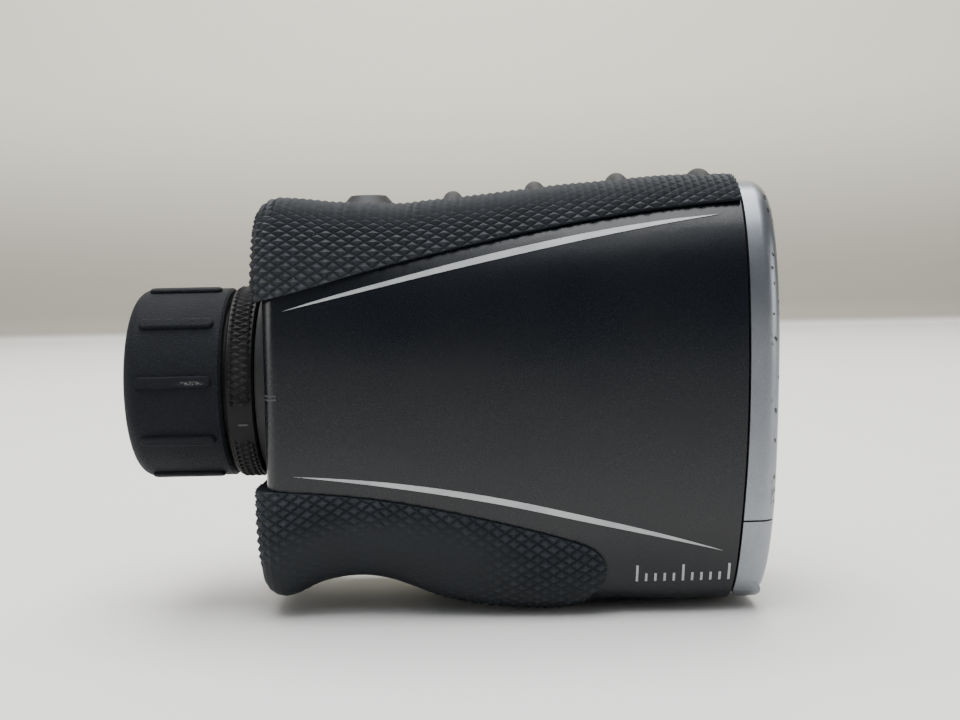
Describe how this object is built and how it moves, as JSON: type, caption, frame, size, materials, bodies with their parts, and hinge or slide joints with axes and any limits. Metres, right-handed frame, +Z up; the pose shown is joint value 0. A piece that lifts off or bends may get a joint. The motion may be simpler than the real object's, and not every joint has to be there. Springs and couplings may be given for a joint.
{
  "type": "laser rangefinder",
  "caption": "Hand-held monocular laser rangefinder with knurled soft grips, a twist-up eyecup, a focus ring, a fire button, a silver lens bezel and a hinged battery door.",
  "frame": {"origin": "centre of the tripod bush's mouth, in the pad that the body stands on", "axes": "+X points at the target along the line of sight, +Y to the user's left, +Z up"},
  "size_m": [0.1253, 0.0511, 0.0866],
  "materials": {
    "panel": "satin",
    "grip_rubber": "matte",
    "stripe_silver": "satin",
    "bezel_silver": "satin metallic paint",
    "steel": "plain",
    "spring_metal": "plated",
    "seal_rubber": "matte",
    "inner_black": "matte",
    "black_anodised": "anodised",
    "coated_glass": "coated",
    "board_green": "gloss",
    "chip_black": "matte",
    "module_metal": "plain",
    "cell_jacket": "gloss",
    "brass_bush": "plain",
    "button_rubber": "matte",
    "cup_rubber": "matte"
  },
  "bodies": {
    "body": {"right_cover": "panel", "left_cover": "panel", "top_grip": "grip_rubber", "bottom_grip": "grip_rubber", "upper_stripe_right": "stripe_silver", "lower_stripe_right": "stripe_silver", "upper_stripe_left": "stripe_silver", "lower_stripe_left": "stripe_silver", "front_bezel": "bezel_silver", "door_hinge_pins": "steel", "door_seal": "seal_rubber", "front_frame": "inner_black", "bezel_screws": "steel", "sight_lens": "coated_glass", "sight_retainer": "black_anodised", "receive_lens": "coated_glass", "receive_retainer": "black_anodised", "emitter_lens": "coated_glass", "emitter_retainer": "black_anodised", "sight_barrel": "inner_black", "receive_barrel": "inner_black", "prism_housing": "inner_black", "prisms": "coated_glass", "display_frame": "inner_black", "display_glass": "coated_glass", "laser_module": "module_metal", "detector": "module_metal", "receiver_board": "board_green", "main_board": "board_green", "board_chips": "chip_black", "eyepiece_tube": "inner_black", "ring_clip": "steel", "fire_switch": "chip_black", "fire_board": "board_green", "side_switches": "chip_black", "battery_tray": "inner_black", "battery_cells": "cell_jacket", "rear_contacts": "spring_metal", "tripod_bush": "brass_bush", "strap_bar": "steel", "case_screws": "steel"},
    "fire": {"fire_button": "button_rubber"},
    "down": {"down_button": "button_rubber"},
    "up": {"up_button": "button_rubber"},
    "ring": {"diopter_ring": "black_anodised"},
    "cell": {"lens_cell": "inner_black", "focus_pins": "steel", "eye_lens": "coated_glass", "eye_retainer": "black_anodised", "field_lens": "coated_glass"},
    "guide": {"cup_guide": "inner_black"},
    "cup": {"cup_sleeve": "inner_black", "eyecup": "cup_rubber"},
    "door": {"battery_door": "bezel_silver", "door_contacts": "spring_metal"}
  },
  "joints": [
    {"name": "fire_press", "type": "slide", "parent": "body", "child": "fire", "axis": [0, 0, -1], "range_m": [0, 0.0006], "stiffness_N_per_m": 1800, "springref_m": -0.0004},
    {"name": "down_press", "type": "slide", "parent": "body", "child": "down", "axis": [0, -1, 0], "range_m": [0, 0.0008], "stiffness_N_per_m": 1500, "springref_m": -0.0003},
    {"name": "up_press", "type": "slide", "parent": "body", "child": "up", "axis": [0, -1, 0], "range_m": [0, 0.0008], "stiffness_N_per_m": 1500, "springref_m": -0.0003},
    {"name": "diopter_turn", "type": "hinge", "parent": "body", "child": "ring", "pos_m": [-0.05785, 0, 0.045], "axis": [1, 0, 0], "range_deg": [-60, 60]},
    {"name": "focus_slide", "type": "slide", "parent": "body", "child": "cell", "axis": [1, 0, 0], "range_m": [-0.0008, 0.0008]},
    {"name": "cup_turn", "type": "hinge", "parent": "body", "child": "guide", "pos_m": [-0.068, 0, 0.045], "axis": [1, 0, 0], "range_deg": [0, 90]},
    {"name": "cup_slide", "type": "slide", "parent": "guide", "child": "cup", "axis": [-1, 0, 0], "range_m": [0, 0.006]},
    {"name": "door_open", "type": "hinge", "parent": "body", "child": "door", "pos_m": [0.0387, 0, 0.0036], "axis": [0, 1, 0], "range_deg": [0, 100]}
  ],
  "couplings": [
    {"joint": "focus_slide", "follows": "diopter_turn", "m_per_rad": 0.00076394},
    {"joint": "cup_slide", "follows": "cup_turn", "m_per_rad": 0.0038197}
  ]
}
